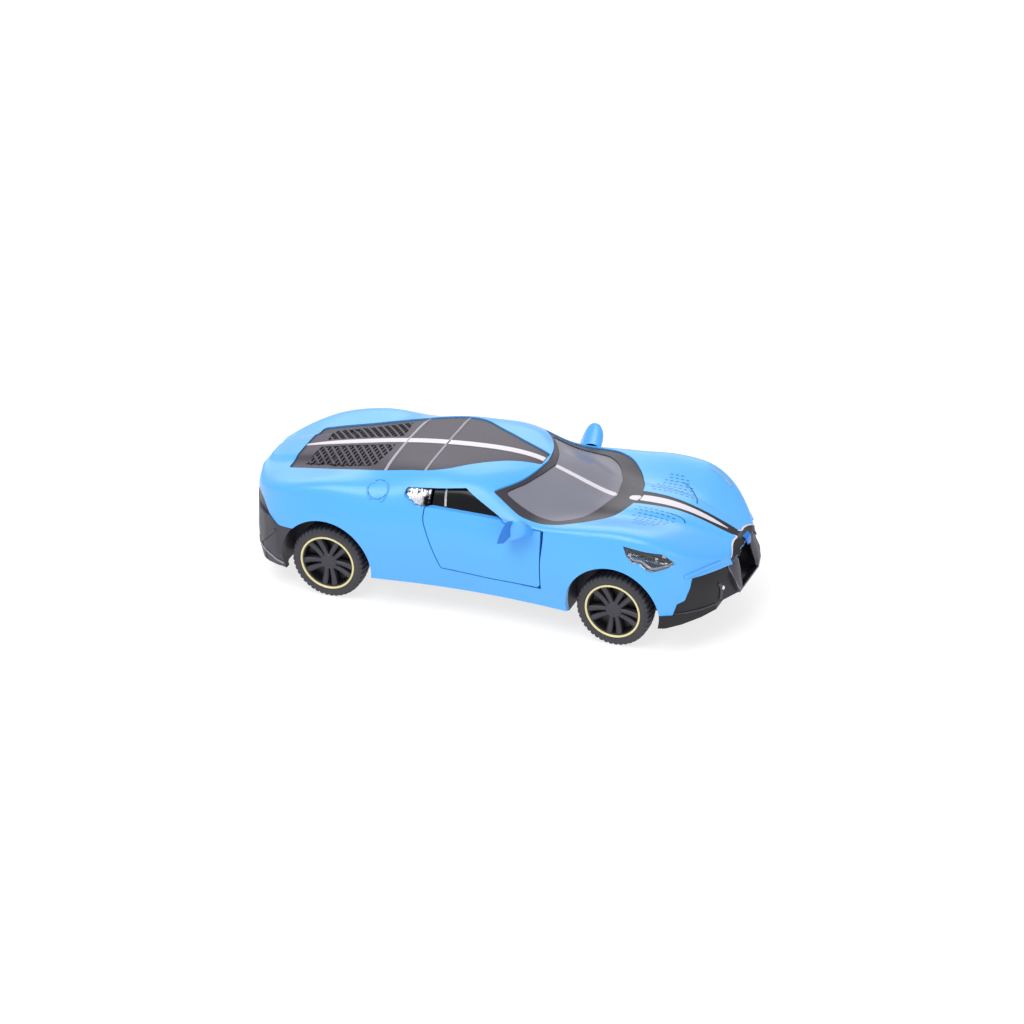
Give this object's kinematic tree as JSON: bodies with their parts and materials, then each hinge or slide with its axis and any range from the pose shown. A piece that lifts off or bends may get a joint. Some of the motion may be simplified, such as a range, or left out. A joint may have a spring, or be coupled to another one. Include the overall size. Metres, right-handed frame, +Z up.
{
  "type": "pull back car",
  "caption": "Toy sports car with a die-cast shell, opening doors and a clockwork pull-back motor on the rear axle.",
  "frame": {"origin": "on the floor under the centre of the car's bounding box", "axes": "+X towards the nose, +Y to the car's left, +Z up"},
  "size_m": [0.1338, 0.0584, 0.0383],
  "materials": {
    "body_paint": "satin",
    "black_plastic": "fine grain",
    "gloss_black": "gloss",
    "dark_panel": "satin",
    "clear_plastic": "clear",
    "tinted_plastic": "tinted",
    "bright_plating": "plated",
    "tyre_rubber": "matt",
    "axle_steel": "drawn",
    "spring_steel": "blued",
    "gear_plastic": "moulded",
    "motor_plastic": "moulded",
    "interior_plastic": "fine grain",
    "red_lens": "clear red"
  },
  "bodies": {
    "car": {"body_shell": "body_paint", "roof_front_panel": "dark_panel", "roof_middle_panel": "dark_panel", "engine_cover": "dark_panel", "windscreen_frame": "dark_panel", "left_engine_grille": "black_plastic", "right_engine_grille": "black_plastic", "front_bumper": "black_plastic", "front_grille": "black_plastic", "rear_bumper": "black_plastic", "chassis_base": "black_plastic", "hood_stripe": "gloss_black", "windscreen": "clear_plastic", "left_headlight_lens": "clear_plastic", "right_headlight_lens": "clear_plastic", "exhaust_tips": "bright_plating", "left_headlight_reflector": "bright_plating", "right_headlight_reflector": "bright_plating", "left_quarter_trim": "bright_plating", "right_quarter_trim": "bright_plating", "gear_shafts": "axle_steel", "left_hinge_pin": "axle_steel", "right_hinge_pin": "axle_steel", "chassis_screws": "axle_steel", "motor_housing_left": "motor_plastic", "motor_housing_right": "motor_plastic", "interior_tub": "interior_plastic", "left_seat": "interior_plastic", "right_seat": "interior_plastic", "dashboard": "interior_plastic", "steering_wheel": "interior_plastic", "tail_light_lens": "red_lens"},
    "front_wheels": {"front_axle": "axle_steel", "front_left_rim": "gloss_black", "front_right_rim": "gloss_black", "front_left_tyre": "tyre_rubber", "front_right_tyre": "tyre_rubber"},
    "rear_wheels": {"rear_axle": "axle_steel", "axle_gear": "gear_plastic", "rear_left_rim": "gloss_black", "rear_right_rim": "gloss_black", "rear_left_tyre": "tyre_rubber", "rear_right_tyre": "tyre_rubber"},
    "idler": {"idler_gear": "gear_plastic"},
    "barrel": {"spring_barrel": "gear_plastic", "mainspring": "spring_steel"},
    "left_door": {"left_door": "body_paint", "left_door_glass": "tinted_plastic", "left_door_card": "interior_plastic", "left_mirror": "body_paint"},
    "right_door": {"right_door": "body_paint", "right_door_glass": "tinted_plastic", "right_door_card": "interior_plastic", "right_mirror": "body_paint"}
  },
  "joints": [
    {"name": "front_axle_spin", "type": "hinge", "parent": "car", "child": "front_wheels", "pos_m": [0.0386, 0, 0.0101], "axis": [0, 1, 0], "continuous": true},
    {"name": "rear_axle_spin", "type": "hinge", "parent": "car", "child": "rear_wheels", "pos_m": [-0.0414, 0, 0.0101], "axis": [0, 1, 0], "continuous": true},
    {"name": "idler_spin", "type": "hinge", "parent": "car", "child": "idler", "pos_m": [-0.03361, 0, 0.0146], "axis": [0, 1, 0], "continuous": true},
    {"name": "barrel_spin", "type": "hinge", "parent": "car", "child": "barrel", "pos_m": [-0.02364, 0, 0.01381], "axis": [0, 1, 0], "continuous": true},
    {"name": "left_door_hinge", "type": "hinge", "parent": "car", "child": "left_door", "pos_m": [0.0164, 0.024, 0.0203], "axis": [0, 0, -1], "range_deg": [0, 60]},
    {"name": "right_door_hinge", "type": "hinge", "parent": "car", "child": "right_door", "pos_m": [0.0164, -0.024, 0.0203], "axis": [0, 0, 1], "range_deg": [0, 60]}
  ],
  "couplings": [
    {"joint": "idler_spin", "follows": "rear_axle_spin", "ratio": -0.5},
    {"joint": "barrel_spin", "follows": "rear_axle_spin", "ratio": 0.21429}
  ]
}
